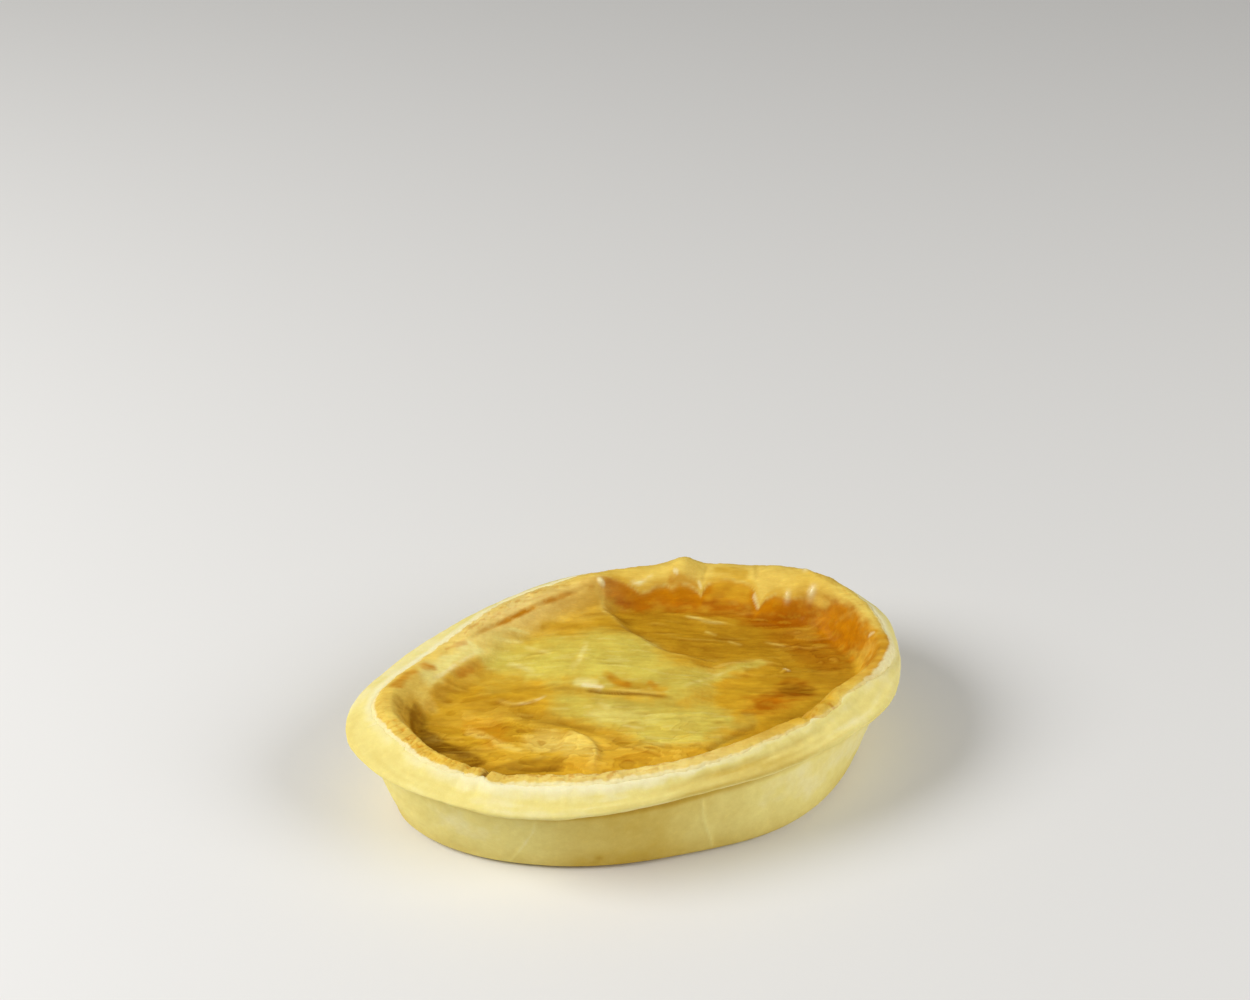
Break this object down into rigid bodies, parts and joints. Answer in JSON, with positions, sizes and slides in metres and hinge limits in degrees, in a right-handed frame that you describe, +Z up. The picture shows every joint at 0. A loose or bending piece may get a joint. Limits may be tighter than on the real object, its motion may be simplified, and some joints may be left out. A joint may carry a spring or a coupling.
{
  "type": "mince pie",
  "caption": "Oval meat pie: a pale shortcrust case with a turned-out collar under a glazed puff pastry lid that has sunk and browned.",
  "frame": {"origin": "on the table, under the middle of the pie's outline", "axes": "+X along the pie's length, towards its browned end, and +Z up"},
  "size_m": [0.1304, 0.0806, 0.0271],
  "materials": {
    "shortcrust": "matt, floury, pale baked shortcrust",
    "puff_pastry": "egg-washed, browned unevenly from pale yellow to deep orange brown"
  },
  "bodies": {
    "root": {"pastry_case": "shortcrust", "pastry_lid": "puff_pastry"}
  },
  "joints": []
}
